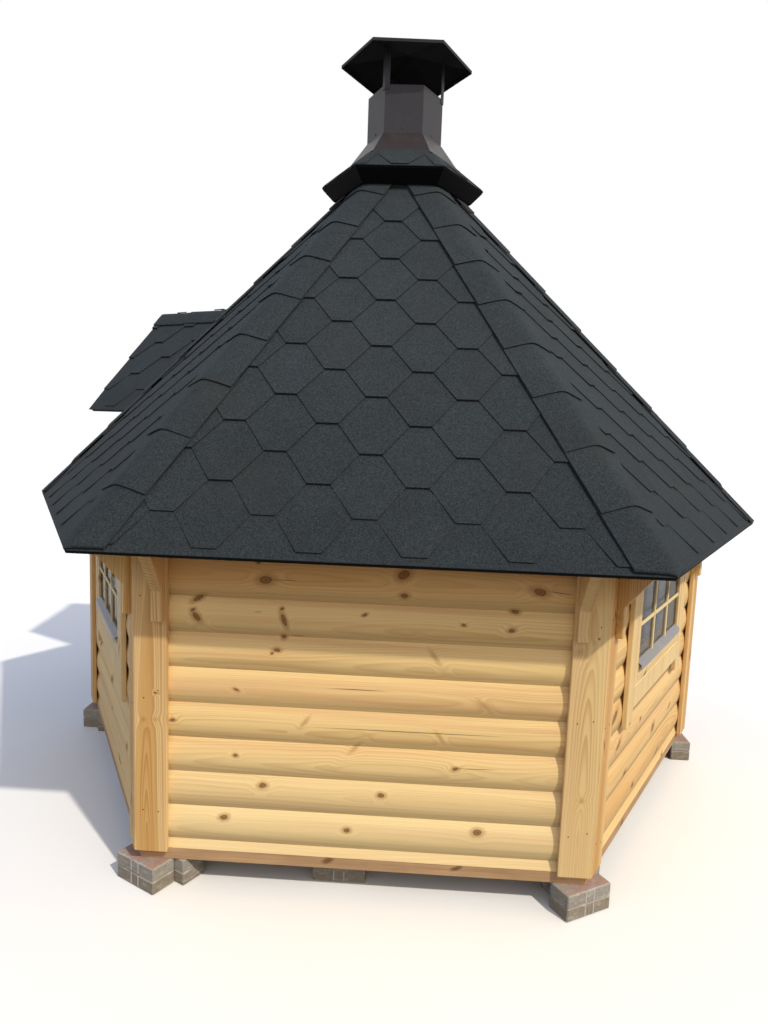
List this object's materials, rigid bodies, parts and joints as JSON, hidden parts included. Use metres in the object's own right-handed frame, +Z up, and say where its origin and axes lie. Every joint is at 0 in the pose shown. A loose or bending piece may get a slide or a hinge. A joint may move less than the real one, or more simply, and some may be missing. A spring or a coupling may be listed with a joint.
{
  "type": "hexagonal log cabin",
  "caption": "Six-sided log cabin with half-round log walls, small-paned windows, a door under a gabled dormer, and a steep shingle roof with a capped steel chimney.",
  "frame": {"origin": "on the ground under the middle of the cabin, at the foot of the middle paver", "axes": "+Z up, +X along the door's width to its right, -Y out through the door"},
  "size_m": [3.8092, 3.449, 3.5588],
  "materials": {
    "log_pine": "planed half-round pine logs, raw",
    "board_pine": "planed pine boards, raw",
    "treated_pine": "brown pressure-treated timber",
    "roof_shingle": "boards under charcoal mineral shingles",
    "chimney_steel": "dark grey coated sheet steel",
    "drip_metal": "grey coated sheet",
    "door_metal": "black coated steel",
    "window_glass": "clear sealed glass unit",
    "paver_concrete": "reddish and grey concrete"
  },
  "bodies": {
    "root": {"back_left_roof": "roof_shingle", "back_left_wall": "log_pine", "back_right_roof": "roof_shingle", "back_right_wall": "log_pine", "back_roof": "roof_shingle", "back_wall": "log_pine", "back_window_casing": "board_pine", "back_window_frame": "board_pine", "back_window_glass": "window_glass", "chimney_cap": "chimney_steel", "chimney_collar": "roof_shingle", "chimney_curb": "board_pine", "chimney_skirt": "chimney_steel", "chimney_stack": "chimney_steel", "chimney_straps": "chimney_steel", "corner_boards": "board_pine", "door_casing": "board_pine", "door_frame": "board_pine", "door_glass": "window_glass", "door_hardware": "door_metal", "door_leaf": "board_pine", "dormer_cheeks": "board_pine", "dormer_gable": "log_pine", "dormer_left_slope": "roof_shingle", "dormer_right_slope": "roof_shingle", "eave_brackets": "board_pine", "floor_deck": "board_pine", "floor_joists": "treated_pine", "front_left_roof": "roof_shingle", "front_left_wall": "log_pine", "front_left_window_casing": "board_pine", "front_left_window_frame": "board_pine", "front_left_window_glass": "window_glass", "front_right_roof": "roof_shingle", "front_right_wall": "log_pine", "front_right_window_casing": "board_pine", "front_right_window_frame": "board_pine", "front_right_window_glass": "window_glass", "front_roof": "roof_shingle", "front_wall": "log_pine", "hip_rafters": "board_pine", "pavers": "paver_concrete", "sill_beams": "treated_pine", "wall_plates": "board_pine", "window_drips": "drip_metal"}
  },
  "joints": []
}
